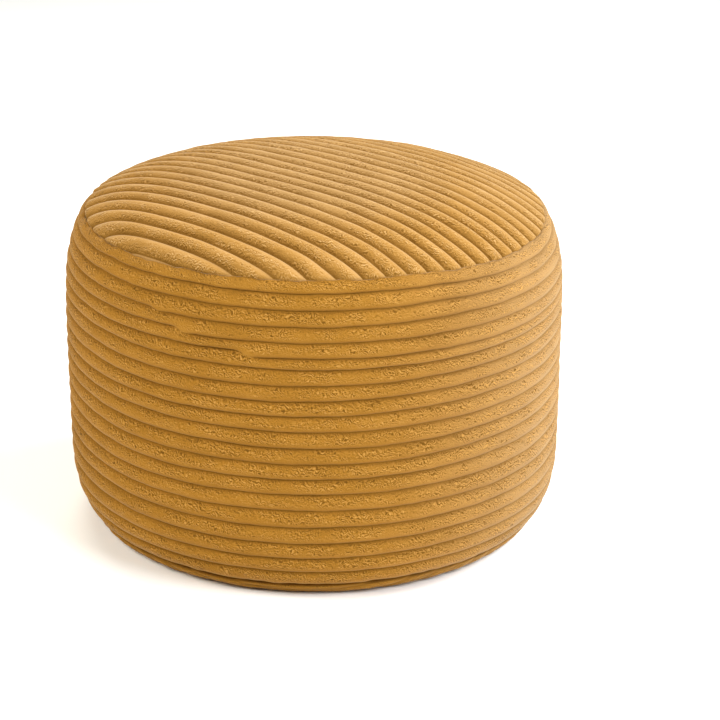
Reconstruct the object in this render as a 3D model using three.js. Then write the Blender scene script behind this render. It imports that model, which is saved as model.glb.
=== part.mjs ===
// Round corduroy footstool: a filled drum sewn from three pieces of wide-ribbed cloth.
// Millimetres, +Z up. The origin is on the floor, under the middle of the footstool.
// The photographed side faces -Y, and azimuths are measured from +X towards +Y.

import * as THREE from 'three'

// Outer form, measured over the crests of the ribs
const WIDEST_RADIUS = 250
const WIDEST_HEIGHT = 127
const TOP_SEAM_RADIUS = 230.5
const TOP_SEAM_HEIGHT = 317
const BOTTOM_SEAM_RADIUS = 233
const BOTTOM_SEAM_HEIGHT = 14
const FLOOR_RADIUS = 210
const SHOULDER_POWER = 6.3
const FOOT_POWER = 5.1
const LEAN = 2

// The filling is fuller at one side: it fills the shoulder out there and draws the top seam down,
// and the cloth of the band down to a certain height with it
const FULL_SIDE_AZIMUTH = -32
const FULL_SIDE_REACH = 26
const FULL_SIDE_POWER = 2.6
const SEAM_SAG = 4.2
const SAG_END_HEIGHT = 240
const SAG_POWER = 4

// Crown of the top: a smaller fullness exponent makes its shoulder fuller, most of all at one side
const CROWN_RISE = 38
const CROWN_POWER = 3.1
const CROWN_FULLNESS = 0.85
const FULLNESS_SWING = 0.09
const FULLER_AZIMUTH = -167

// Seams
const SEAM_GAP = 0.3
const TOP_PANEL_EDGE = 2
const SEAM_TUCK = 1.4

// Ribs of the cloth
const GROOVE_DEPTH = 4.2
const RIB_ROUNDNESS = 2.4
const RIB_FULLNESS = 0.62
const RIB_END_TAPER = 16
const LOWER_RIBS = 14
const LOWER_RIB_WIDTH = 15.1
const LOWER_RIB_GROWTH = 0.14
const RIB_WAVER = 0.7

// Ribs of the top panel: a groove lies at the offset, and their pitch drifts across the panel.
// The filling bows them, and the seam pulls their two ends back again.
const TOP_RIB_AZIMUTH = THREE.MathUtils.degToRad(-42.4)
const TOP_RIB_OFFSET = -10
const TOP_RIB_PITCH = 17.66
const TOP_RIB_DRIFT = -0.03
const TOP_RIB_BOW = 8
const TOP_RIB_HOOK_RIGHT = -4.6
const TOP_RIB_HOOK_LEFT = -20
const HOOK_POWER = 6

// Upper grooves of the band. The cloth is pulled askew on the photographed side: past the
// azimuth of its jog, each groove goes on at another height.
const JOG_WIDTH = 7
const UPPER_GROOVES = [
  { before: 307.5, after: 307.2, jog: -140 },
  { before: 294.2, after: 293.4, jog: -135 },
  { before: 281.0, after: 278.3, jog: -126.5 },
  { before: 267.4, after: 262.9, jog: -119.5 },
  { before: 253.3, after: 248.0, jog: -104.5 },
  { before: 238.8, after: 238.3, jog: -100 },
]

// The two ends of the band meet in an upright seam at the back
const CLOSING_AZIMUTH = 90

// Facets
const BAND_COLUMNS = 54
const BAND_STEP = 360 / BAND_COLUMNS
const RIB_STATIONS = [0, 0.2, 0.5, 0.8]
const PANEL_COLUMNS = 20
const ROLL_STEPS = 5

const CLOTH = { color: 0xc68a3c, roughness: 0.95, metalness: 0 }

const { clamp, degToRad, lerp, radToDeg, smoothstep } = THREE.MathUtils

// Sideways place of the level at height z: the filling has settled, so the footstool leans a little
function leanAt(z) {
  const height = TOP_SEAM_HEIGHT + CROWN_RISE
  return LEAN * (0.5 - z / height)
}

// How much the fuller filling counts, from 0 to 1, at an azimuth. It runs straight between the
// columns of the band, so that the two faces that meet at the seam have the same shape.
function fullSide(azimuth) {
  const place = (azimuth - CLOSING_AZIMUTH) / BAND_STEP
  const [before, after] = [Math.floor(place), Math.floor(place) + 1].map((column) => {
    const away = CLOSING_AZIMUTH + column * BAND_STEP - FULL_SIDE_AZIMUTH
    return Math.exp(-((away / FULL_SIDE_REACH) ** 4))
  })
  return lerp(before, after, place - Math.floor(place))
}

// Radius of the band over its crests at height z
function bandRadius(z, azimuth) {
  if (z > WIDEST_HEIGHT) {
    const up = (z - WIDEST_HEIGHT) / (TOP_SEAM_HEIGHT - WIDEST_HEIGHT)
    const power = SHOULDER_POWER + FULL_SIDE_POWER * fullSide(azimuth)
    return WIDEST_RADIUS - (WIDEST_RADIUS - TOP_SEAM_RADIUS) * up ** power
  }
  const down = (WIDEST_HEIGHT - z) / (WIDEST_HEIGHT - BOTTOM_SEAM_HEIGHT)
  return WIDEST_RADIUS - (WIDEST_RADIUS - BOTTOM_SEAM_RADIUS) * down ** FOOT_POWER
}

// How far the cloth lies below its crest, from 0 to 1, at place t across a rib (0 and 1 are grooves)
function ribDrop(t) {
  const fromCrest = Math.abs(2 * t - 1)
  return 1 - Math.max(1 - fromCrest ** RIB_ROUNDNESS, 0) ** RIB_FULLNESS
}

// Small natural waver of a groove along its length
function waver(azimuth, index) {
  const slow = Math.sin(degToRad(2 * azimuth) + 1.3 * index)
  const quick = Math.sin(degToRad(5 * azimuth) - 0.7 * index)
  return RIB_WAVER * (slow + 0.5 * quick)
}

// Heights of the top seam, every groove and the bottom seam at one azimuth, from the top down
function grooveHeights(azimuth) {
  const sag = SEAM_SAG * fullSide(azimuth)
  const heights = [TOP_SEAM_HEIGHT - SEAM_GAP / 2 - sag]
  UPPER_GROOVES.forEach(({ before, after, jog }, index) => {
    const share = smoothstep(azimuth, jog - JOG_WIDTH / 2, jog + JOG_WIDTH / 2)
    const level = lerp(before, after, share)
    const pull = clamp((level - SAG_END_HEIGHT) / (TOP_SEAM_HEIGHT - SAG_END_HEIGHT), 0, 1)
    heights.push(level - sag * pull + waver(azimuth, index))
  })
  let height = UPPER_GROOVES.at(-1).after
  for (let rib = 0; rib < LOWER_RIBS - 1; rib += 1) {
    height -= LOWER_RIB_WIDTH + LOWER_RIB_GROWTH * rib
    heights.push(height + waver(azimuth, rib + UPPER_GROOVES.length))
  }
  heights.push(BOTTOM_SEAM_HEIGHT + SEAM_GAP / 2)
  return heights
}

// One closed mesh from rings of equal length, the first and last of which end in a flat cap
function closedRings(rings, capStart, capEnd) {
  const count = rings[0].length
  const points = [...rings.flat(), capStart, capEnd]
  const start = points.length - 2
  const end = points.length - 1
  const faces = []
  for (let column = 0; column < count; column += 1) {
    const next = (column + 1) % count
    faces.push(start, column, next)
    for (let row = 0; row < rings.length - 1; row += 1) {
      const a = row * count + column
      const b = row * count + next
      faces.push(a, a + count, b)
      faces.push(b, a + count, b + count)
    }
    const last = (rings.length - 1) * count
    faces.push(end, last + next, last + column)
  }
  const geometry = new THREE.BufferGeometry().setFromPoints(points)
  geometry.setIndex(faces)
  geometry.computeVertexNormals()
  return geometry
}

// Side band: a filled drum, its ribs lying one above another round the footstool
function bandGeometry() {
  const columns = []
  for (let column = 0; column < BAND_COLUMNS; column += 1) {
    const azimuth = CLOSING_AZIMUTH - 360 + BAND_STEP * column
    columns.push(bandColumn(azimuth))
  }
  const rows = columns[0].length
  const rings = []
  for (let row = 0; row < rows; row += 1) {
    rings.push(columns.map((column) => column[row]))
  }
  const top = TOP_SEAM_HEIGHT - SEAM_GAP / 2
  const bottom = BOTTOM_SEAM_HEIGHT + SEAM_GAP / 2
  return closedRings(
    rings,
    new THREE.Vector3(leanAt(top), 0, top),
    new THREE.Vector3(leanAt(bottom), 0, bottom),
  )
}

// Points of the band at one azimuth, from the top seam down
function bandColumn(azimuth) {
  const grooves = grooveHeights(azimuth)
  const points = []
  for (let rib = 0; rib < grooves.length - 1; rib += 1) {
    for (const t of RIB_STATIONS) {
      const z = grooves[rib] + (grooves[rib + 1] - grooves[rib]) * t
      const atSeam = rib === 0 && t === 0
      const depth = atSeam ? SEAM_TUCK : GROOVE_DEPTH * ribDrop(t)
      points.push(bandPoint(azimuth, z, depth))
    }
  }
  points.push(bandPoint(azimuth, grooves.at(-1), SEAM_TUCK))
  return points
}

function bandPoint(azimuth, z, depth) {
  const radius = bandRadius(z, azimuth) - depth
  const angle = degToRad(azimuth)
  return new THREE.Vector3(leanAt(z) + radius * Math.cos(angle), radius * Math.sin(angle), z)
}

// Offset of the top panel's groove number k from the middle, measured across the ribs
function topGrooveOffset(k) {
  return TOP_RIB_OFFSET + TOP_RIB_PITCH * k + TOP_RIB_DRIFT * k * k
}

// Offsets across the ribs at which the top panel has a row of points, and the drop there
function topRows(edge) {
  const rows = []
  const reach = Math.ceil(edge / TOP_RIB_PITCH) + 2
  for (let k = -reach; k < reach; k += 1) {
    for (const t of RIB_STATIONS) {
      const offset = topGrooveOffset(k) + (topGrooveOffset(k + 1) - topGrooveOffset(k)) * t
      if (Math.abs(offset) < edge - 1) {
        rows.push({ offset, drop: ribDrop(t) })
      }
    }
  }
  return rows
}

// Place of a point on the bowed line at an offset, for a share from -1 at its left end to 1 at its
// right end. Both ends lie on the panel's edge.
function topRibPoint(offset, share, edge) {
  const pull = share > 0 ? TOP_RIB_HOOK_RIGHT : TOP_RIB_HOOK_LEFT
  const bow = TOP_RIB_BOW * (1 - Math.abs(offset / edge) ** 2)
  const hook = pull * (1 - Math.abs(offset / edge) ** HOOK_POWER)
  const across = offset + bow * share ** 2 + hook * Math.abs(share) ** HOOK_POWER
  const along = share * Math.sqrt(edge ** 2 - (offset + bow + hook) ** 2)
  return { along, across }
}

// Height of the top's crests above the panel's base
function crownRise(along, across, edge) {
  const radius = Math.min(Math.hypot(along, across) / edge, 1)
  const azimuth = Math.atan2(across, along) + TOP_RIB_AZIMUTH
  const fullness = CROWN_FULLNESS - FULLNESS_SWING * Math.cos(azimuth - degToRad(FULLER_AZIMUTH))
  return (CROWN_RISE - TOP_PANEL_EDGE) * (1 - radius ** CROWN_POWER) ** fullness
}

// Top panel: a crowned round of cloth and filling on a flat underside, its ribs running across
function topPanelGeometry() {
  const edge = TOP_SEAM_RADIUS - SEAM_TUCK
  const base = TOP_SEAM_HEIGHT + SEAM_GAP / 2
  const rows = topRows(edge)
  const flat = []
  const points = []
  const faces = []
  const perRow = PANEL_COLUMNS + 1
  const place = (along, across, height) => {
    const share = Math.min(Math.hypot(along, across) / edge, 1)
    const angle = Math.atan2(across, along) + TOP_RIB_AZIMUTH
    const azimuth = radToDeg(angle)
    const sag = SEAM_SAG * fullSide(azimuth)
    const widening = bandRadius(TOP_SEAM_HEIGHT - sag, azimuth) - TOP_SEAM_RADIUS
    const radius = share * edge + widening * share ** SAG_POWER
    return new THREE.Vector3(
      leanAt(TOP_SEAM_HEIGHT) + radius * Math.cos(angle),
      radius * Math.sin(angle),
      base + height - sag * share ** SAG_POWER,
    )
  }
  rows.forEach(({ offset, drop }) => {
    for (let column = 0; column < perRow; column += 1) {
      const share = Math.sin((column / PANEL_COLUMNS - 0.5) * Math.PI)
      const { along, across } = topRibPoint(offset, share, edge)
      const taper = smoothstep(edge - Math.hypot(along, across), 0, RIB_END_TAPER)
      const rise = crownRise(along, across, edge) - GROOVE_DEPTH * drop * taper
      flat.push([along, across])
      points.push(place(along, across, TOP_PANEL_EDGE + Math.max(rise, 0)))
    }
  })
  for (let row = 0; row < rows.length - 1; row += 1) {
    for (let column = 0; column < PANEL_COLUMNS; column += 1) {
      const a = row * perRow + column
      const b = a + perRow
      faces.push(a, a + 1, b)
      faces.push(b, a + 1, b + 1)
    }
  }
  // The rim, in order round the panel: along the first row, up the right ends, back along
  // the last row and down the left ends
  const last = rows.length - 1
  const rim = []
  for (let column = 0; column < perRow; column += 1) {
    rim.push(column)
  }
  for (let row = 1; row < last; row += 1) {
    rim.push(row * perRow + PANEL_COLUMNS)
  }
  for (let column = PANEL_COLUMNS; column >= 0; column -= 1) {
    rim.push(last * perRow + column)
  }
  for (let row = last - 1; row > 0; row -= 1) {
    rim.push(row * perRow)
  }
  const under = points.length
  rim.forEach((index) => points.push(place(...flat[index], 0)))
  const middle = points.length
  points.push(place(0, 0, 0))
  rim.forEach((index, i) => {
    const j = (i + 1) % rim.length
    faces.push(rim[j], index, under + i)
    faces.push(rim[j], under + i, under + j)
    faces.push(under + j, under + i, middle)
  })
  const geometry = new THREE.BufferGeometry().setFromPoints(points)
  geometry.setIndex(faces)
  geometry.computeVertexNormals()
  return geometry
}

// Bottom panel: flat on the floor, its edge rolling up to the bottom seam
function bottomPanelGeometry() {
  const edge = BOTTOM_SEAM_RADIUS - SEAM_TUCK
  const top = BOTTOM_SEAM_HEIGHT - SEAM_GAP / 2
  const profile = [new THREE.Vector2(0, 0)]
  for (let step = 0; step <= ROLL_STEPS; step += 1) {
    const turn = (step / ROLL_STEPS) * (Math.PI / 2)
    const radius = FLOOR_RADIUS + (edge - FLOOR_RADIUS) * Math.sin(turn)
    profile.push(new THREE.Vector2(radius, top * (1 - Math.cos(turn))))
  }
  profile.push(new THREE.Vector2(0, top))
  const geometry = new THREE.LatheGeometry(profile, BAND_COLUMNS)
  geometry.rotateX(Math.PI / 2)
  geometry.translate(leanAt(BOTTOM_SEAM_HEIGHT), 0, 0)
  return geometry
}

function piece(name, geometry) {
  const mesh = new THREE.Mesh(geometry, new THREE.MeshStandardMaterial(CLOTH))
  mesh.name = name
  return mesh
}

const footstool = new THREE.Group()
footstool.add(piece('top_panel', topPanelGeometry()))
footstool.add(piece('side_band', bandGeometry()))
footstool.add(piece('bottom_panel', bottomPanelGeometry()))

export default footstool
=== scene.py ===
"""Round corduroy footstool: top panel, side band and foot panel as sewn and filled cloth.

Metres, +Z up. The photographed side faces -Y. Azimuths run from +X towards +Y, in degrees.
"""

import math
from collections import namedtuple

import bpy
import numpy as np
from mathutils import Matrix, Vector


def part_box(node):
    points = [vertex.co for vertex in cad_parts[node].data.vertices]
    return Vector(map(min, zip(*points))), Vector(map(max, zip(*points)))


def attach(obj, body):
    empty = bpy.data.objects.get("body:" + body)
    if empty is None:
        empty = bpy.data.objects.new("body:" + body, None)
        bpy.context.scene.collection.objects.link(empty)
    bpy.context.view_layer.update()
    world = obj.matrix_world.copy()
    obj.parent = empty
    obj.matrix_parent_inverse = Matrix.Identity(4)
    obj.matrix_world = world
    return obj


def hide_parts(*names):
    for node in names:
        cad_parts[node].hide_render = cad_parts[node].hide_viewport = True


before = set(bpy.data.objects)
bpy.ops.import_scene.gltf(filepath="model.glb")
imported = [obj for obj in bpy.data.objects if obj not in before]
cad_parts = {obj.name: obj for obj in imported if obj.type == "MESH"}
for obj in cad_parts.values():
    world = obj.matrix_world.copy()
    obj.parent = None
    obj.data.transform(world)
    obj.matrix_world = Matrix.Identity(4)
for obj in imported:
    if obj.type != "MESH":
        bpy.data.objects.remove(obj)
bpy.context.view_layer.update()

MM = 0.001

# Sizes of the sewn form, read from the frame
band_low, band_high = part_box("side_band")
top_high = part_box("top_panel")[1]
foot_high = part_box("bottom_panel")[1]
SEAM_GAP = 0.3 * MM
TOP_SEAM_HEIGHT = band_high[2] + SEAM_GAP / 2
BOTTOM_SEAM_HEIGHT = (band_low[2] + foot_high[2]) / 2
TOTAL_HEIGHT = top_high[2]
CROWN_RISE = top_high[2] - band_high[2] - SEAM_GAP
WIDEST_RADIUS = (band_high[1] - band_low[1]) / 2

# Form of the drum, over the crests of the ribs
WIDEST_HEIGHT = 127 * MM
TOP_SEAM_RADIUS = 230.5 * MM
BOTTOM_SEAM_RADIUS = 233 * MM
FLOOR_RADIUS = 210 * MM
SHOULDER_POWER = 6.3
FOOT_POWER = 5.1
LEAN = 2 * MM
SETTLED_DEPTH = 0.8 * MM

# A side of the footstool: it counts fully round its middle azimuth and fades out past its reach
Side = namedtuple("Side", "middle reach")

# The filling is fuller at one side: it fills the shoulder out there and draws the top seam down,
# and the cloth of the band down to a certain height with it
FULL_SIDE = Side(middle=-32.0, reach=26.0)
FULL_SIDE_POWER = 2.6
SEAM_SAG = 4.2 * MM
SAG_END_HEIGHT = 240 * MM
SAG_POWER = 4

# Cloth stretched by the filling: its ribs lose this share of their depth. Round one side the pile is
# drawn paler as painted sheen, where the right key light grazes. On the top, the pairs are shares of
# the way out: there the stretch sets in and the painted sheen of the middle ends; the stretched cloth
# on the top gets the painted sheen by this share.
BAND_STRETCH = 0.4
BAND_STRETCHED = Side(middle=-15.0, reach=35.0)
BAND_PAINTED_SHEEN = Side(middle=0.0, reach=58.0)
TOP_STRETCH = 0.6
TOP_STRETCHED = Side(middle=15.0, reach=45.0)
TOP_STRETCH_SETS_IN = (0.35, 0.8)
TOP_PAINTED_SHEEN_MIDDLE_ENDS = (0.35, 0.85)
TOP_PAINTED_SHEEN_BY_STRETCH = 0.5

# Crown of the top: a smaller fullness exponent makes its shoulder fuller, most of all at one side
CROWN_POWER = 3.1
CROWN_FULLNESS = 0.85
FULLNESS_SWING = 0.09
FULLER_AZIMUTH = -167.0
STEEPEST_LEFT = 0.01

# Top seam: the top's ribs close in noses above it, and the band's uppermost rib stands up to it
SEAM_TUCK = 1.4 * MM
TOP_EDGE_RADIUS = TOP_SEAM_RADIUS - SEAM_TUCK
TOP_SEAM_RIPPLE = 0.8 * MM
PANEL_EDGE = 2 * MM
RIB_NOSE = 4 * MM
NOSE_DROP = 0.88
STRIP_LIFT = 0.9 * MM
STRIP_LIFT_POWER = 1.5
STRIP_TUCK = 3.6 * MM

# Bottom seam: it is pinched in, and the foot cloth creases along it
FOOT_SEAM_WAVER = 0.8 * MM
FOOT_SEAM_PUCKER = 0.45 * MM
FOOT_TUCK = 4.4 * MM
FOOT_EDGE_TUCK = 0.35 * FOOT_TUCK
FOOT_EDGE_RADIUS = BOTTOM_SEAM_RADIUS - FOOT_EDGE_TUCK
FOOT_FLAT_SHARE = 0.88
FOOT_RIB_DEPTH = 1.6 * MM
FOOT_PINCH = 2.4 * MM
FOOT_PINCH_WIDTH = 2.0 * MM
CREASE_DEPTH = 1.1 * MM
CREASE_SPACING = 8.0 * MM
CREASE_WANDER = 0.4
CREASE_STRENGTH = 0.6
CREASE_SWING = 0.5
CREASE_SHARPNESS = 0.6
CREASES_SET_IN = (FOOT_FLAT_SHARE, 0.93)

# Cloth turned in at the seams: how far in, and how far past the seam, each row of its points lies
TurnedIn = namedtuple("TurnedIn", "inset depth")
BAND_TURNED_IN_ABOVE = (
    TurnedIn(inset=1.0 * MM, depth=3.5 * MM),
    TurnedIn(inset=0.4 * MM, depth=1.4 * MM),
)
BAND_TURNED_IN_BELOW = (
    TurnedIn(inset=0.4 * MM, depth=1.2 * MM),
    TurnedIn(inset=1.0 * MM, depth=3.5 * MM),
)
PANEL_HEM = TurnedIn(inset=1.0 * MM, depth=3.0 * MM)

# Ribs of the cloth. The points of a rib lie at the stations across it.
GROOVE_DEPTH = 4.2 * MM
RIB_ROUNDNESS = 2.4
RIB_FULLNESS = 0.88
LOWER_RIBS = 14
LOWER_RIB_WIDTH = 15.1 * MM
LOWER_RIB_GROWTH = 0.14 * MM
RIB_WAVER = 0.7 * MM
RIB_STATIONS = (0.0, 0.05, 0.13, 0.28, 0.48, 0.68, 0.85, 0.95)

# Unevenness of the crests: its height, and the size of its cells along and across the ribs
Uneven = namedtuple("Uneven", "height along across")
LONG_UNEVEN = Uneven(height=0.35 * MM, along=38 * MM, across=15 * MM)
SHORT_UNEVEN = Uneven(height=0.16 * MM, along=9 * MM, across=5 * MM)

# The cloth is pulled askew on the photographed side: past the azimuth of its jog, each of these
# grooves of the band goes on at another height. The larger its step, the more it fades at the jog.
Groove = namedtuple("Groove", "before after jog")
UPPER_GROOVES = [
    Groove(before=307.5 * MM, after=307.2 * MM, jog=-140.0),
    Groove(before=294.2 * MM, after=293.4 * MM, jog=-135.0),
    Groove(before=281.0 * MM, after=278.3 * MM, jog=-126.5),
    Groove(before=267.4 * MM, after=262.9 * MM, jog=-119.5),
    Groove(before=253.3 * MM, after=248.0 * MM, jog=-104.5),
    Groove(before=238.8 * MM, after=238.3 * MM, jog=-100.0),
]
JOG_WIDTH = 3.6
JOG_FADE = 0.95
FULL_JOG_STEP = 5 * MM

# The band's two ends meet in an upright seam at the back
CLOSING_AZIMUTH = 90.0
CLOSING_PINCH = 3.2 * MM
CLOSING_WIDTH = 1.1

# Ribs of the two round panels: a groove lies at the offset, and the pitch drifts across the panel.
# The filling bows the ribs, and the seam pulls their two ends back again.
RoundRibs = namedtuple("RoundRibs", "azimuth offset pitch drift bow hook_left hook_right")
TOP_RIBS = RoundRibs(
    azimuth=-42.4,
    offset=-10 * MM,
    pitch=17.66 * MM,
    drift=-0.03 * MM,
    bow=8 * MM,
    hook_left=-20 * MM,
    hook_right=-4.6 * MM,
)
FOOT_RIBS = RoundRibs(
    azimuth=-4.0, offset=4.0 * MM, pitch=16.0 * MM, drift=0.0, bow=0.0, hook_left=0.0, hook_right=0.0
)
HOOK_POWER = 6

# The ribs of a panel sway a little to and fro on their way across it, but not at its edge
PANEL_SWAY = 0.7 * MM
SWAY_CELL = (32 * MM, 17 * MM)
SWAY_FADE = 20 * MM

# Mesh density. A panel's columns lie closer together towards its edge, even only by this share.
BAND_COLUMNS = 560
PANEL_COLUMNS = 300
FOOT_COLUMNS = 200
EVEN_COLUMNS = 0.35
POLE_ROWS = 29
POLE_STEP = 3.0 * MM

# Seeds of the unevenness, and the first rib number of a panel's pile, clear of those of the band
BAND_SEED = 11
TOP_SEED = 21
FOOT_SEED = 31
PANEL_FIRST_RIB = 50.0

# Noise of the pile: sizes of its cells along and across the ribs, and its step from rib to rib
Noise = namedtuple("Noise", "along across detail roughness rib_step")
TUFTS = Noise(along=1.6 * MM, across=1.1 * MM, detail=0.0, roughness=0.5, rib_step=7.31)
FUZZ = Noise(along=1.1 * MM, across=1.1 * MM, detail=2.0, roughness=0.7, rib_step=7.31)
CRUSHED_PATCHES = Noise(along=24 * MM, across=11 * MM, detail=2.0, roughness=0.6, rib_step=7.31)
TINT_PATCHES = Noise(along=60 * MM, across=30 * MM, detail=3.0, roughness=0.6, rib_step=7.31)
TWIST = Noise(along=6 * MM, across=6 * MM, detail=1.0, roughness=0.5, rib_step=3.17)
TWIST_REACH = 7 * MM
# The two noises of a crushed mark are shifted this far apart, and their difference is painted as
# highlight and shade
TUFT_SHIFT = (0.30 * MM, -0.40 * MM)
TUFT_CONTRAST = 6.0
PILE_HEIGHT = 0.45 * MM
FUZZ_HEIGHT = 0.25

# Smooth ramps from one value to another, between a low and a high end
Ramp = namedtuple("Ramp", "low high at_low at_high")
CRUSHED_IN_PATCH = Ramp(low=0.34, high=0.60, at_low=0.30, at_high=1.0)
CRUSHED_ON_CREST = Ramp(low=0.25, high=0.85, at_low=1.0, at_high=0.15)
CRUSHED_ON_FLANK = Ramp(low=0.10, high=0.65, at_low=1.0, at_high=0.12)
DRIFT_TONE = Ramp(low=0.30, high=0.72, at_low=-0.14, at_high=0.14)
# Painted shade: the pile is darkened towards the bottom of each groove
GROOVE_PAINTED_SHADE = Ramp(low=0.10, high=0.95, at_low=0.0, at_high=0.28)

# How much each of these counts in the tone of the pile: fuzz, the marks with their painted highlight
# and shade, and the pale share, which is partly painted sheen
FUZZ_TONE = 0.6
MARKS_PAINTED_LIGHT_TONE = 0.5
PALE_AND_SHEEN_TONE = 0.8

# Camera of the photograph
CAMERA_DISTANCE = 2.252
CAMERA_PITCH = 21.41
CAMERA_AIM_HEIGHT = 0.150
CAMERA_CLIP_END = 60.0
LENS = 110.0
SENSOR = 36.0
SHIFT = (0.0633, 0.0034)

# Studio
FLOOR_REACH = 12.0
SOFTBOX_SIZE = 1.6
SOFTBOX_DISTANCE = 2.8
SOFTBOX_AIM_HEIGHT = 0.15
COOL = (0.93, 0.96, 1.0)
WARM = (1.0, 0.97, 0.88)


# Small tools


def smoothstep(value, low, high):
    share = np.clip((value - low) / (high - low), 0.0, 1.0)
    return share * share * (3.0 - 2.0 * share)


def around(azimuth, side):
    """Share from 0 to 1 that is near 1 round the middle of a side and falls off past its reach."""
    return np.exp(-(((azimuth - side.middle) / side.reach) ** 4))


def ripple(azimuth, waves, seed):
    """Smooth uneven value round the footstool, about -1 to 1. waves are whole numbers of turns."""
    rng = np.random.default_rng(seed)
    total = np.zeros_like(azimuth, dtype=float)
    for count in waves:
        phase = rng.uniform(0.0, 2.0 * math.pi)
        total += np.sin(np.radians(azimuth) * count + phase) * rng.uniform(0.6, 1.0)
    return total / math.sqrt(len(waves))


def cloth_noise(along, across, cell_along, cell_across, seed):
    """Smooth lattice noise from -1 to 1 over the cloth, with cells of the given sizes."""
    size = 512
    lattice = np.random.default_rng(seed).uniform(-1.0, 1.0, (size, size))
    u = along / cell_along
    v = across / cell_across
    column = np.floor(u).astype(int)
    row = np.floor(v).astype(int)
    fu = smoothstep(u - column, 0.0, 1.0)
    fv = smoothstep(v - row, 0.0, 1.0)

    def at(i, j):
        return lattice[(row + j) % size, (column + i) % size]

    near = at(0, 0) * (1 - fu) + at(1, 0) * fu
    far = at(0, 1) * (1 - fu) + at(1, 1) * fu
    return near * (1 - fv) + far * fv


# Form of the footstool


def lean_at(z):
    """The filling has settled, so each level is set a little sideways."""
    return LEAN * (0.5 - z / TOTAL_HEIGHT)


def settled_form(azimuth, z):
    """Broad soft unevenness of the filling, most of all at half height."""
    level = np.sin(np.clip(z / TOP_SEAM_HEIGHT, 0, 1) * math.pi)
    return SETTLED_DEPTH * ripple(azimuth, (3, 5, 8), 3) * level


def band_radius(z, azimuth):
    """Radius of the band over its crests."""
    up = np.clip((z - WIDEST_HEIGHT) / (TOP_SEAM_HEIGHT - WIDEST_HEIGHT), 0.0, None)
    down = np.clip((WIDEST_HEIGHT - z) / (WIDEST_HEIGHT - BOTTOM_SEAM_HEIGHT), 0.0, None)
    power = SHOULDER_POWER + FULL_SIDE_POWER * around(azimuth, FULL_SIDE)
    shoulder = (WIDEST_RADIUS - TOP_SEAM_RADIUS) * up**power
    foot = (WIDEST_RADIUS - BOTTOM_SEAM_RADIUS) * down**FOOT_POWER
    return WIDEST_RADIUS - shoulder - foot


def rib_drop(t, roll=1.0):
    """How far the pile lies below its crest, from 0 to 1, at place t across a rib. roll is how much
    of its rounding the rib keeps."""
    from_crest = np.abs(2.0 * t - 1.0)
    left = np.clip(1.0 - from_crest**RIB_ROUNDNESS, 0.0, None) * roll
    return 1.0 - left**RIB_FULLNESS


def crest_unevenness(along, across, seed):
    """Crests rise and fall along their length, and the pile is crushed a little here and there."""
    long = cloth_noise(along, across, LONG_UNEVEN.along, LONG_UNEVEN.across, seed)
    short = cloth_noise(along, across, SHORT_UNEVEN.along, SHORT_UNEVEN.across, seed + 1)
    return LONG_UNEVEN.height * long + SHORT_UNEVEN.height * short


# Grooves and seams of the band


def waver(azimuth, index):
    """Up and down of one groove on its way round the footstool: two even swings and finer ones."""
    slow = np.sin(np.radians(2 * azimuth) + 1.3 * index)
    quick = np.sin(np.radians(5 * azimuth) - 0.7 * index)
    small = ripple(azimuth, (11, 17, 26), 40 + index)
    fine = ripple(azimuth, (37, 53, 71), 70 + index)
    return RIB_WAVER * (slow + 0.5 * quick + 0.5 * small + 0.2 * fine)


def bottom_seam_waver(azimuth):
    """The bottom seam puckers up and down under the weight."""
    broad = FOOT_SEAM_WAVER * ripple(azimuth, (7, 13, 24, 37), 7)
    return broad + FOOT_SEAM_PUCKER * ripple(azimuth, (53, 71, 97), 8)


def closing_seam(azimuth):
    """Groove of the upright seam at the back, where the band's two ends are sewn together."""
    away = np.abs((azimuth - CLOSING_AZIMUTH + 180.0) % 360.0 - 180.0)
    return CLOSING_PINCH * np.exp(-((away / CLOSING_WIDTH) ** 2))


def groove_heights(azimuth):
    """Heights of the top seam, the grooves and the bottom seam, and each groove's depth share."""
    sag = SEAM_SAG * around(azimuth, FULL_SIDE)
    heights = [TOP_SEAM_HEIGHT - sag + TOP_SEAM_RIPPLE * ripple(azimuth, (19, 31, 47, 83), 5)]
    depths = [np.ones_like(azimuth)]
    for index, groove in enumerate(UPPER_GROOVES):
        share = smoothstep(azimuth, groove.jog - JOG_WIDTH / 2, groove.jog + JOG_WIDTH / 2)
        level = groove.before + (groove.after - groove.before) * share
        pull = np.clip((level - SAG_END_HEIGHT) / (TOP_SEAM_HEIGHT - SAG_END_HEIGHT), 0.0, 1.0)
        heights.append(level - sag * pull + waver(azimuth, index))
        at_jog = np.exp(-(((azimuth - groove.jog) / (JOG_WIDTH / 2)) ** 2))
        step = min(abs(groove.after - groove.before) / FULL_JOG_STEP, 1.0)
        depths.append(1.0 - JOG_FADE * step * at_jog)
    level = UPPER_GROOVES[-1].after
    for rib in range(LOWER_RIBS - 1):
        level -= LOWER_RIB_WIDTH + LOWER_RIB_GROWTH * rib
        heights.append(level + waver(azimuth, rib + len(UPPER_GROOVES)))
        depths.append(np.ones_like(azimuth))
    heights.append(BOTTOM_SEAM_HEIGHT + bottom_seam_waver(azimuth))
    depths.append(np.ones_like(azimuth))
    return np.array(heights), np.array(depths)


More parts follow.
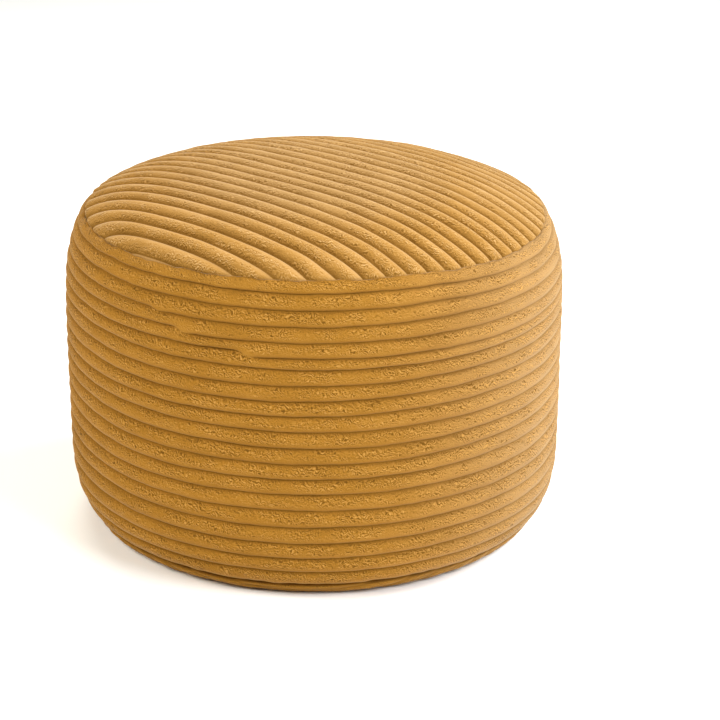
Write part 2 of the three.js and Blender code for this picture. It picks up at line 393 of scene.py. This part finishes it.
def band_rows(azimuth):
    """Rows of points from the top seam down to the bottom seam: their heights, drops, flanks (-1 at
    the upper groove of a rib, 1 at its lower one), places across the cloth and rib numbers."""
    grooves, depths = groove_heights(azimuth)
    ribs = len(grooves) - 1
    rows = []
    for rib in range(ribs):
        for t in RIB_STATIONS:
            height = grooves[rib] + (grooves[rib + 1] - grooves[rib]) * t
            near = rib if t < 0.5 else rib + 1
            drop = rib_drop(np.full_like(azimuth, t)) * depths[near]
            if rib == 0:
                # The pile of the uppermost rib stands up over the seam
                height = height + STRIP_LIFT * (1.0 - t) ** STRIP_LIFT_POWER
            if near == 0:
                drop = drop * STRIP_TUCK / GROOVE_DEPTH
            rows.append((height, drop, 2.0 * t - 1.0, (rib + t) * LOWER_RIB_WIDTH, rib))
    rows.append((grooves[-1], FOOT_TUCK / GROOVE_DEPTH, 1.0, ribs * LOWER_RIB_WIDTH, ribs - 1))
    return [
        np.array([np.broadcast_to(value, azimuth.shape) for value in values], dtype=float)
        for values in zip(*rows)
    ]


# Ribs of the round panels


def rib_line(ribs, offset, share, edge):
    """The bowed line at an offset, for shares from -1 at its left end to 1 at its right end. Both
    ends lie on the panel's edge."""
    pull = np.where(share > 0, ribs.hook_right, ribs.hook_left)
    bow = ribs.bow * (1.0 - np.abs(offset / edge) ** 2)
    hook = pull * (1.0 - np.abs(offset / edge) ** HOOK_POWER)
    across = offset + bow * share**2 + hook * np.abs(share) ** HOOK_POWER
    along = share * np.sqrt(edge**2 - (offset + bow + hook) ** 2)
    return along, across


def rib_rows(ribs, edge):
    """Offsets of a panel's rows of points, with each row's place across its rib and rib number.
    Near the panel's two poles the rows follow the edge in even steps."""
    reach = int(edge / ribs.pitch) + 3
    offsets = []
    places = []
    for k in range(-reach, reach):
        start = ribs.offset + ribs.pitch * k + ribs.drift * k * k
        end = ribs.offset + ribs.pitch * (k + 1) + ribs.drift * (k + 1) ** 2
        for t in RIB_STATIONS:
            offsets.append(start + (end - start) * t)
            places.append(k + t)
    offsets = np.array(offsets)
    pole = edge * np.cos(np.arange(1, POLE_ROWS + 1) * POLE_STEP / edge)
    rows = np.concatenate([-pole, offsets[np.abs(offsets) < pole[-1]], pole[::-1]])
    place = np.interp(rows, offsets, places)
    number = np.floor(place)
    return rows[:, None], (place - number)[:, None], number[:, None]


Grid = namedtuple("Grid", "along across azimuth share to_edge t rib")


def panel_grid(ribs, edge, columns, seed):
    """Points of a round of cloth whose ribs end at its edge. share is how far out a point lies, from
    0 to 1, t is its place across its rib, and rib the number of that rib."""
    offset, t, rib = rib_rows(ribs, edge)
    column = np.linspace(-1.0, 1.0, columns)[None, :]
    column = EVEN_COLUMNS * column + (1.0 - EVEN_COLUMNS) * np.sin(column * math.pi / 2)
    along, across = rib_line(ribs, offset, column, edge)
    everywhere = np.zeros_like(along)
    sway = PANEL_SWAY * cloth_noise(along, offset + everywhere, *SWAY_CELL, seed + 4)
    across = across + sway * np.clip((edge - np.hypot(along, across)) / SWAY_FADE, 0.0, 1.0)
    out = np.hypot(along, across)
    azimuth = np.degrees(np.arctan2(across, along)) + ribs.azimuth
    to_edge = np.clip(edge - out, 0.0, None)
    return Grid(along, across, azimuth, out / edge, to_edge, t + everywhere, rib + everywhere)


def nosed_drop(grid):
    """Drops on a panel. Each rib is a rounded roll that closes in a nose at the seam."""
    past_nose = 1.0 - np.clip(grid.to_edge / RIB_NOSE, 0.0, 1.0)
    return rib_drop(grid.t, 1.0 - NOSE_DROP * past_nose**2)


def foot_creases(azimuth, share):
    """Creases of the foot cloth that run along the bottom seam: 0 beside them, up to 1 in them."""
    wander = CREASE_WANDER * ripple(azimuth, (3, 7, 11, 19), 61)
    swing = CREASE_SWING * ripple(azimuth, (4, 9, 15), 62)
    strength = np.clip(CREASE_STRENGTH + swing, 0.0, 1.0)
    out = share * FOOT_EDGE_RADIUS
    from_crease = np.abs(np.sin(math.pi * (out / CREASE_SPACING + wander)))
    return strength * (1.0 - from_crease**CREASE_SHARPNESS) * smoothstep(share, *CREASES_SET_IN)


# Meshes


Pile = namedtuple("Pile", "place drop flank opened")


def make_piece(name, points, quads, triangles, pile):
    """A smooth mesh. The pile says for each point where it lies on the cloth, how far below its crest
    and on which flank, and how much painted sheen pales it."""
    mesh = bpy.data.meshes.new(name)
    faces = [*quads.tolist(), *triangles.tolist()]
    mesh.from_pydata(points.tolist(), [], faces)
    mesh.update()
    for label, kind, values, field in (
        ("pile_place", "FLOAT_VECTOR", pile.place, "vector"),
        ("rib_drop", "FLOAT", pile.drop, "value"),
        ("rib_flank", "FLOAT", pile.flank, "value"),
        ("painted_sheen", "FLOAT", pile.opened, "value"),
    ):
        layer = mesh.attributes.new(label, kind, "POINT")
        layer.data.foreach_set(field, np.ascontiguousarray(values, dtype=np.float32).ravel())
    mesh.polygons.foreach_set("use_smooth", np.ones(len(mesh.polygons), dtype=bool))
    piece = bpy.data.objects.new(name, mesh)
    bpy.context.scene.collection.objects.link(piece)
    return piece


def grid_faces(rows, columns, wrap):
    """Quads over rows of points, each row after the last. wrap joins the last column to the first."""
    count = columns if wrap else columns - 1
    row, column = np.meshgrid(np.arange(rows - 1), np.arange(count), indexing="ij")
    a = row * columns + column
    b = row * columns + (column + 1) % columns
    return np.stack([a, a + columns, b + columns, b], axis=-1).reshape(-1, 4)


def fan(middle, ring):
    """Triangles from a middle point to each step of a closed ring of points."""
    return np.stack([np.full_like(ring, middle), ring, np.roll(ring, -1)], axis=-1)


def set_out(radius, azimuth, z):
    """Points set out round the footstool's axis, row after row."""
    angle = np.radians(azimuth)
    return np.stack([radius * np.cos(angle), radius * np.sin(angle), z], axis=-1).reshape(-1, 3)


def side_band():
    """The band: its ribs lie one above another and run round to the closing seam at the back. At
    both seams its cloth is turned in, and closed by a plain round inside the footstool."""
    azimuth = CLOSING_AZIMUTH - 360.0 + np.arange(BAND_COLUMNS) * 360.0 / BAND_COLUMNS
    z, drop, flank, across, rib = band_rows(azimuth)
    along = np.radians(azimuth) * WIDEST_RADIUS + np.zeros_like(z)
    relief = GROOVE_DEPTH * drop * (1.0 - BAND_STRETCH * around(azimuth, BAND_STRETCHED))
    relief += closing_seam(azimuth)
    relief -= crest_unevenness(along, across, BAND_SEED) * (1.0 - drop)
    relief -= settled_form(azimuth, z)
    radius = band_radius(z, azimuth) - relief

    above = [(radius[0] - row.inset, z[0] - row.depth) for row in BAND_TURNED_IN_ABOVE]
    below = [(radius[-1] - row.inset, z[-1] + row.depth) for row in BAND_TURNED_IN_BELOW]
    radius, z = np.stack([*above, *zip(radius, z), *below], axis=1)
    points = set_out(radius, azimuth, z)
    points[:, 0] += lean_at(z).ravel()
    middles = [(lean_at(row[0]), 0.0, row.mean()) for row in (z[0], z[-1])]

    rows = len(z)
    first_ring = np.arange(BAND_COLUMNS)
    last_ring = first_ring + (rows - 1) * BAND_COLUMNS
    rounds = [fan(len(points), first_ring), fan(len(points) + 1, last_ring[::-1])]
    turned_in = ((len(above), len(below)), (0, 0))
    along, across, rib, drop, flank = (
        np.pad(values, turned_in, "edge") for values in (along, across, rib, drop, flank)
    )
    place = np.stack([along, across, rib], axis=-1).reshape(-1, 3)
    pile = Pile(
        place=np.vstack([place, np.zeros((2, 3))]),
        drop=np.append(drop, [1.0, 1.0]),
        flank=np.append(flank, [0.0, 0.0]),
        # Painted sheen: the pile is drawn paler round the side where the right key light grazes
        opened=np.append(np.tile(around(azimuth, BAND_PAINTED_SHEEN), rows), [0.0, 0.0]),
    )
    quads = grid_faces(rows, BAND_COLUMNS, True)
    points = np.vstack([points, middles])
    return make_piece("corduroy_side_band", points, quads, np.vstack(rounds), pile)


Form = namedtuple("Form", "radius height outward upward")
Surface = namedtuple("Surface", "relief drop opened")


def rim_of(rows, columns):
    """Numbers of the points round the edge of a grid."""
    last = rows - 1
    return np.concatenate([
        np.arange(columns),
        np.arange(1, last) * columns + columns - 1,
        last * columns + np.arange(columns)[::-1],
        np.arange(1, last)[::-1] * columns,
    ])


def panel_piece(name, grid, form, surface, edge, seam_height, faces_up):
    """A round panel: the relief of its surface is laid on the form of its crests. Its edge is turned
    under along the seam, and closed by a plain round inside the footstool."""
    height = np.maximum(form.height - surface.relief * form.upward, 0.0)
    points = set_out(form.radius - surface.relief * form.outward, grid.azimuth, height)
    rows, columns = height.shape
    rim = rim_of(rows, columns)
    hem = points[rim].copy()
    hem[:, :2] *= (edge - PANEL_HEM.inset) / edge
    hem[:, 2] += -PANEL_HEM.depth if faces_up else PANEL_HEM.depth
    hem_ring = len(points) + np.arange(len(rim))
    middle = len(points) + len(rim)
    points = np.vstack([points, hem, hem.mean(axis=0, keepdims=True)])
    points[:, 0] += lean_at(seam_height)

    cloth = grid_faces(rows, columns, False)[:, ::-1]
    under = np.stack([np.roll(rim, -1), rim, hem_ring, np.roll(hem_ring, -1)], axis=-1)
    facing = 1 if faces_up else -1
    quads = np.vstack([cloth, under])[:, ::facing]
    triangles = fan(middle, hem_ring[::-1])[:, ::facing]

    place = np.stack([grid.along, grid.across, grid.rib + PANEL_FIRST_RIB], axis=-1).reshape(-1, 3)
    flank = (2.0 * grid.t - 1.0).ravel()
    opened = surface.opened.ravel()
    pile = Pile(
        place=np.vstack([place, place[rim], np.zeros((1, 3))]),
        # Painted shade: the turned-under hem and the closing round take the deepest drop, so they are
        # coloured like the bottom of a groove
        drop=np.append(surface.drop, np.ones(len(rim) + 1)),
        flank=np.concatenate([flank, flank[rim], [0.0]]),
        opened=np.concatenate([opened, opened[rim], [0.0]]),
    )
    return make_piece(name, points, quads, triangles, pile)


def crown_form(share, azimuth):
    """Crests of the top, crowned by the filling."""
    base = TOP_SEAM_HEIGHT + PANEL_EDGE
    rise = CROWN_RISE - PANEL_EDGE
    swing = np.cos(np.radians(azimuth - FULLER_AZIMUTH))
    fullness = CROWN_FULLNESS - FULLNESS_SWING * swing
    left = 1.0 - share**CROWN_POWER
    height = base + rise * left**fullness
    steep = CROWN_POWER * share ** (CROWN_POWER - 1.0)
    steep = steep * np.maximum(left, STEEPEST_LEFT) ** (fullness - 1.0)
    sag = SEAM_SAG * around(azimuth, FULL_SIDE)
    widening = band_radius(TOP_SEAM_HEIGHT - sag, azimuth) - TOP_SEAM_RADIUS
    radius = share * TOP_EDGE_RADIUS + widening * share**SAG_POWER
    slope = rise * fullness * steep + sag * SAG_POWER * share ** (SAG_POWER - 1)
    slope = slope / TOP_EDGE_RADIUS
    length = np.hypot(1.0, slope)
    return Form(radius, height - sag * share**SAG_POWER, slope / length, 1.0 / length)


def top_panel():
    """The top: its ribs run straight across it."""
    grid = panel_grid(TOP_RIBS, TOP_EDGE_RADIUS, PANEL_COLUMNS, TOP_SEED)
    drop = nosed_drop(grid)
    stretched = around(grid.azimuth, TOP_STRETCHED) * smoothstep(grid.share, *TOP_STRETCH_SETS_IN)
    # Painted sheen: the middle of the top, and by a share its stretched cloth, are drawn paler
    middle = 1.0 - smoothstep(grid.share, *TOP_PAINTED_SHEEN_MIDDLE_ENDS)
    opened = np.maximum(TOP_PAINTED_SHEEN_BY_STRETCH * stretched, middle)
    relief = GROOVE_DEPTH * drop * (1.0 - TOP_STRETCH * stretched)
    relief -= crest_unevenness(grid.along, grid.across, TOP_SEED) * (1.0 - drop)
    return panel_piece(
        "corduroy_top_panel",
        grid,
        crown_form(np.clip(grid.share, 0.0, 1.0), grid.azimuth),
        Surface(relief, drop, opened),
        edge=TOP_EDGE_RADIUS,
        seam_height=TOP_SEAM_HEIGHT,
        faces_up=True,
    )


def foot_form(share):
    """Crests of the foot: flat on the floor, and its edge rolls up to the bottom seam."""
    turn = np.clip((share - FOOT_FLAT_SHARE) / (1.0 - FOOT_FLAT_SHARE), 0.0, 1.0) * math.pi / 2
    flat = np.minimum(share / FOOT_FLAT_SHARE, 1.0) * FLOOR_RADIUS
    radius = flat + (FOOT_EDGE_RADIUS - FLOOR_RADIUS) * np.sin(turn)
    height = BOTTOM_SEAM_HEIGHT * (1.0 - np.cos(turn))
    return Form(radius, height, np.sin(turn), -np.cos(turn))


def foot_panel():
    """The foot: its ribs are pressed nearly flat, and its edge creases along the bottom seam."""
    grid = panel_grid(FOOT_RIBS, FOOT_EDGE_RADIUS, FOOT_COLUMNS, FOOT_SEED)
    drop = nosed_drop(grid)
    crease = foot_creases(grid.azimuth, grid.share)
    pinch = np.exp(-((grid.to_edge / FOOT_PINCH_WIDTH) ** 2))
    relief = FOOT_RIB_DEPTH * drop
    relief -= crest_unevenness(grid.along, grid.across, FOOT_SEED) * (1.0 - drop)
    relief += CREASE_DEPTH * crease + FOOT_PINCH * pinch
    # Painted shade: the creases and the pinched seam count as deep drop, so they are darkened in
    # colour as well as sunk
    drop = np.clip(drop + crease + pinch, 0.0, 1.0)
    return panel_piece(
        "corduroy_foot_panel",
        grid,
        foot_form(np.clip(grid.share, 0.0, 1.0)),
        # Painted sheen: paler round the same side as on the band
        Surface(relief, drop, around(grid.azimuth, BAND_PAINTED_SHEEN)),
        edge=FOOT_EDGE_RADIUS,
        seam_height=BOTTOM_SEAM_HEIGHT,
        faces_up=False,
    )


# Materials


def add_node(tree, kind, **settings):
    made = tree.nodes.new(kind)
    for name, value in settings.items():
        setattr(made, name, value)
    return made


def feed(tree, target, source):
    """Join a source socket to the target socket, or set the target's own value."""
    if isinstance(source, bpy.types.NodeSocket):
        tree.links.new(source, target)
    else:
        target.default_value = source


def feed_all(tree, node, sources):
    for label, source in sources.items():
        feed(tree, node.inputs[label], source)


def maths(tree, operation, *values, clamp=False):
    made = add_node(tree, "ShaderNodeMath", operation=operation, use_clamp=clamp)
    for socket, value in zip(made.inputs, values):
        feed(tree, socket, value)
    return made.outputs[0]


def vector_maths(tree, operation, *values):
    made = add_node(tree, "ShaderNodeVectorMath", operation=operation)
    for socket, value in zip(made.inputs, values):
        feed(tree, socket, value)
    return made.outputs[0]


def ramp(tree, value, ends):
    made = add_node(tree, "ShaderNodeMapRange", interpolation_type="SMOOTHSTEP")
    taken = {"Value": value, "From Min": ends.low, "From Max": ends.high}
    feed_all(tree, made, {**taken, "To Min": ends.at_low, "To Max": ends.at_high})
    return made.outputs["Result"]


def mix_colour(tree, share, first, second):
    made = add_node(tree, "ShaderNodeMix", data_type="RGBA")
    # The colours of this node are its inputs 6 and 7
    for index, value in ((0, share), (6, first), (7, second)):
        feed(tree, made.inputs[index], value)
    return made.outputs[2]


def noise(tree, place, kind, output="Fac"):
    """One of the kinds of noise over the places on the cloth."""
    scale = (1.0 / kind.along, 1.0 / kind.across, kind.rib_step)
    made = add_node(tree, "ShaderNodeTexNoise")
    settings = {"Scale": 1.0, "Detail": kind.detail, "Roughness": kind.roughness}
    feed_all(tree, made, {"Vector": vector_maths(tree, "MULTIPLY", place, scale), **settings})
    return made.outputs[output]


def bent_place(tree, place):
    """The place on the cloth, pushed about smoothly so that marks laid on it twist."""
    push = noise(tree, place, TWIST, "Color")
    return vector_maths(tree, "MULTIPLY_ADD", push, (TWIST_REACH, TWIST_REACH, 0.0), place)


def new_group(name, inputs, outputs):
    tree = bpy.data.node_groups.new(name, "ShaderNodeTree")
    for label, kind, value in inputs:
        socket = tree.interface.new_socket(label, in_out="INPUT", socket_type=kind)
        if value is not None:
            socket.default_value = value
    for label, kind in outputs:
        tree.interface.new_socket(label, in_out="OUTPUT", socket_type=kind)
    given = tree.nodes.new("NodeGroupInput").outputs
    return tree, given, tree.nodes.new("NodeGroupOutput")


def crushed_pile_and_painted_light_group():
    """Short worm-like marks where the pile is crushed, each with a painted highlight on one side and
    painted shade on the other, over a bump. They lie in patches on the crests and leave the flank
    with the painted sheen smooth."""
    tree, given, result = new_group(
        "crushed pile with painted light",
        [
            ("Place", "NodeSocketVector", None),
            ("Drop", "NodeSocketFloat", 0.0),
            ("Flank", "NodeSocketFloat", 0.0),
            ("Amount", "NodeSocketFloat", 1.0),
        ],
        [("Lit and Shaded Marks", "NodeSocketFloat"), ("Relief", "NodeSocketFloat"), ("Fuzz", "NodeSocketFloat")],
    )
    place = given["Place"]
    bent = bent_place(tree, place)
    along, across = TUFT_SHIFT
    lit = noise(tree, vector_maths(tree, "ADD", bent, (along, across, 0.0)), TUFTS)
    dark = noise(tree, vector_maths(tree, "ADD", bent, (-along, -across, 0.0)), TUFTS)
    # Painted highlight and shade: the difference of the two shifted noises
    painted_lit_and_shaded_pair = maths(tree, "MULTIPLY", maths(tree, "SUBTRACT", lit, dark), TUFT_CONTRAST)
    patch = ramp(tree, noise(tree, place, CRUSHED_PATCHES), CRUSHED_IN_PATCH)
    crest = ramp(tree, given["Drop"], CRUSHED_ON_CREST)
    rough_side = ramp(tree, given["Flank"], CRUSHED_ON_FLANK)
    share = maths(tree, "MULTIPLY", maths(tree, "MULTIPLY", patch, crest), rough_side)
    share = maths(tree, "MULTIPLY", share, given["Amount"])
    marks = maths(tree, "MULTIPLY", painted_lit_and_shaded_pair, share)
    relief = maths(tree, "MULTIPLY", lit, share)
    fuzz = noise(tree, place, FUZZ)
    feed_all(tree, result, {"Lit and Shaded Marks": marks, "Relief": relief, "Fuzz": fuzz})
    return tree


def pile_tint_and_painted_light_group():
    """Colour of the pile: painted shade darkens the grooves, painted sheen pales one flank of each
    rib and painted shade darkens the other, tone drifts at random, and the crushed marks bring their
    painted highlights and shade.
    """
    tree, given, result = new_group(
        "pile tint and painted light",
        [
            ("Place", "NodeSocketVector", None),
            ("Drop", "NodeSocketFloat", 0.0),
            ("Flank", "NodeSocketFloat", 0.0),
            ("Lit and Shaded Marks", "NodeSocketFloat", 0.0),
            ("Fuzz", "NodeSocketFloat", 0.5),
            ("Opened", "NodeSocketFloat", 0.0),
            ("Deep", "NodeSocketColor", (0.2, 0.08, 0.01, 1.0)),
            ("Body", "NodeSocketColor", (0.5, 0.25, 0.05, 1.0)),
            ("Pale", "NodeSocketColor", (0.6, 0.35, 0.12, 1.0)),
            ("Open", "NodeSocketColor", (0.35, 0.2, 0.08, 1.0)),
            ("Nap", "NodeSocketFloat", 0.3),
        ],
        [("Colour", "NodeSocketColor")],
    )
    drifted = ramp(tree, noise(tree, given["Place"], TINT_PATCHES), DRIFT_TONE)
    # Painted sheen and shade: one flank of each rib is paler, the other darker
    flank_sheen_and_shade = maths(tree, "MULTIPLY", given["Flank"], given["Nap"])
    grain = maths(tree, "MULTIPLY", maths(tree, "SUBTRACT", given["Fuzz"], 0.5), FUZZ_TONE)
    marked = maths(tree, "MULTIPLY", given["Lit and Shaded Marks"], MARKS_PAINTED_LIGHT_TONE)
    tone = maths(tree, "ADD", maths(tree, "ADD", flank_sheen_and_shade, drifted), maths(tree, "ADD", grain, marked))
    pale = maths(tree, "MULTIPLY", maths(tree, "MAXIMUM", tone, 0.0), PALE_AND_SHEEN_TONE, clamp=True)
    shade = maths(tree, "MULTIPLY", maths(tree, "MINIMUM", tone, 0.0), -1.0)
    # Painted shade in the grooves
    groove = ramp(tree, given["Drop"], GROOVE_PAINTED_SHADE)
    deep = maths(tree, "ADD", shade, groove, clamp=True)
    # Painted sheen: mixes in the paler colour where the key light grazes
    colour = mix_colour(tree, given["Opened"], given["Body"], given["Open"])
    colour = mix_colour(tree, pale, colour, given["Pale"])
    colour = mix_colour(tree, deep, colour, given["Deep"])
    feed(tree, result.inputs["Colour"], colour)
    return tree


Finish = namedtuple("Finish", "deep body pale opened nap crushed")
# Deep colours serve painted shade in the grooves and darker random tone; pale colours serve painted
# sheen on one flank and lighter random tone; the fourth colour is the painted sheen round the side
# where the key light grazes, and the flank share sets the painted sheen and shade across each rib
FINISHES = {
    "top_cloth": Finish(
        deep=(0.142, 0.062, 0.0075, 1),
        body=(0.335, 0.168, 0.0350, 1),
        pale=(0.54, 0.335, 0.145, 1),
        opened=(0.350, 0.198, 0.066, 1),
        nap=0.50,
        crushed=0.9,
    ),
    "band_cloth": Finish(
        deep=(0.136, 0.059, 0.0070, 1),
        body=(0.312, 0.141, 0.0170, 1),
        pale=(0.48, 0.245, 0.055, 1),
        opened=(0.325, 0.190, 0.073, 1),
        nap=0.20,
        crushed=1.15,
    ),
    "foot_cloth": Finish(
        deep=(0.126, 0.054, 0.0065, 1),
        body=(0.308, 0.141, 0.0180, 1),
        pale=(0.44, 0.22, 0.042, 1),
        opened=(0.320, 0.180, 0.060, 1),
        nap=0.05,
        crushed=0.6,
    ),
}


def corduroy(name, finish, groups):
    """Cut-pile corduroy. The pile's sheen and roughness are the shader's own values; its colour also
    carries painted sheen and painted shade.
    """
    crushed, tint = groups
    material = bpy.data.materials.new(name)
    material.use_nodes = True
    tree = material.node_tree
    place = add_node(tree, "ShaderNodeAttribute", attribute_name="pile_place").outputs["Vector"]
    drop, flank, opened = (
        add_node(tree, "ShaderNodeAttribute", attribute_name=label).outputs["Fac"]
        for label in ("rib_drop", "rib_flank", "painted_sheen")
    )
    where = {"Place": place, "Drop": drop, "Flank": flank}

    pile = add_node(tree, "ShaderNodeGroup", node_tree=crushed)
    feed_all(tree, pile, {**where, "Amount": finish.crushed})

    nap = add_node(tree, "ShaderNodeGroup", node_tree=tint)
    marks = {"Lit and Shaded Marks": pile.outputs["Lit and Shaded Marks"], "Fuzz": pile.outputs["Fuzz"], "Opened": opened}
    colours = {"Deep": finish.deep, "Body": finish.body, "Pale": finish.pale, "Open": finish.opened}
    feed_all(tree, nap, {**where, **marks, **colours, "Nap": finish.nap})

    grain = maths(tree, "MULTIPLY", pile.outputs["Fuzz"], FUZZ_HEIGHT)
    height = maths(tree, "ADD", pile.outputs["Relief"], grain)
    bump = add_node(tree, "ShaderNodeBump")
    feed_all(tree, bump, {"Strength": 1.0, "Distance": PILE_HEIGHT, "Height": height})

    feed_all(tree, tree.nodes["Principled BSDF"], {
        "Base Color": nap.outputs["Colour"],
        "Normal": bump.outputs["Normal"],
        "Roughness": 0.9,
        "Specular IOR Level": 0.05,
        "Sheen Weight": 0.15,
        "Sheen Roughness": 0.35,
        "Sheen Tint": (1.0, 0.97, 0.80, 1.0),
    })
    return material


# Stage, light and camera


def pale_floor():
    mesh = bpy.data.meshes.new("floor")
    low, high = -FLOOR_REACH, FLOOR_REACH
    corners = [(low, low, 0), (high, low, 0), (high, high, 0), (low, high, 0)]
    mesh.from_pydata(corners, [], [(0, 1, 2, 3)])
    floor = bpy.data.objects.new("floor", mesh)
    bpy.context.scene.collection.objects.link(floor)
    material = bpy.data.materials.new("pale floor")
    material.use_nodes = True
    shader = material.node_tree.nodes["Principled BSDF"]
    shader.inputs["Base Color"].default_value = (0.98, 0.98, 0.98, 1)
    shader.inputs["Roughness"].default_value = 0.8
    mesh.materials.append(material)


def softbox(name, azimuth, elevation, power, colour):
    """A large round soft light, aimed at the footstool."""
    light = bpy.data.lights.new(name, "AREA")
    light.shape = "DISK"
    light.size = SOFTBOX_SIZE
    light.energy = power
    light.color = colour
    lamp = bpy.data.objects.new(name, light)
    bpy.context.scene.collection.objects.link(lamp)
    lamp.visible_camera = False
    a, e = math.radians(azimuth), math.radians(elevation)
    lamp.location = (
        SOFTBOX_DISTANCE * math.cos(e) * math.cos(a),
        SOFTBOX_DISTANCE * math.cos(e) * math.sin(a),
        SOFTBOX_AIM_HEIGHT + SOFTBOX_DISTANCE * math.sin(e),
    )
    lamp.rotation_euler = (math.radians(90) - e, 0.0, a + math.radians(90))


def studio():
    world = bpy.data.worlds.new("studio")
    world.use_nodes = True
    background = world.node_tree.nodes["Background"]
    background.inputs["Color"].default_value = (1.0, 0.98, 0.88, 1)
    background.inputs["Strength"].default_value = 0.2
    bpy.context.scene.world = world
    softbox("right key", azimuth=15.0, elevation=40.0, power=98.0, colour=COOL)
    softbox("front right fill", azimuth=-40.0, elevation=35.0, power=75.0, colour=COOL)
    softbox("front left fill", azimuth=-150.0, elevation=40.0, power=65.0, colour=WARM)
    softbox("back", azimuth=110.0, elevation=50.0, power=40.0, colour=WARM)


def photo_camera():
    camera = bpy.data.cameras.new("camera")
    camera.lens = LENS
    camera.sensor_width = SENSOR
    camera.shift_x, camera.shift_y = SHIFT
    camera.clip_end = CAMERA_CLIP_END
    viewer = bpy.data.objects.new("camera", camera)
    bpy.context.scene.collection.objects.link(viewer)
    pitch = math.radians(CAMERA_PITCH)
    viewer.location = (
        0.0,
        -CAMERA_DISTANCE * math.cos(pitch),
        CAMERA_AIM_HEIGHT + CAMERA_DISTANCE * math.sin(pitch),
    )
    viewer.rotation_euler = (math.radians(90) - pitch, 0.0, 0.0)
    bpy.context.scene.camera = viewer


photo_camera()
pale_floor()
studio()

groups = (crushed_pile_and_painted_light_group(), pile_tint_and_painted_light_group())
for piece, node, slot, fill in (
    (top_panel(), "top_panel", "top_cloth", 0.75),
    (side_band(), "side_band", "band_cloth", 0.8),
    (foot_panel(), "bottom_panel", "foot_cloth", 0.8),
):
    piece.data.materials.append(corduroy(slot, FINISHES[slot], groups))
    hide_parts(node)
    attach(piece, "root")

bpy.context.scene.view_settings.view_transform = "Standard"
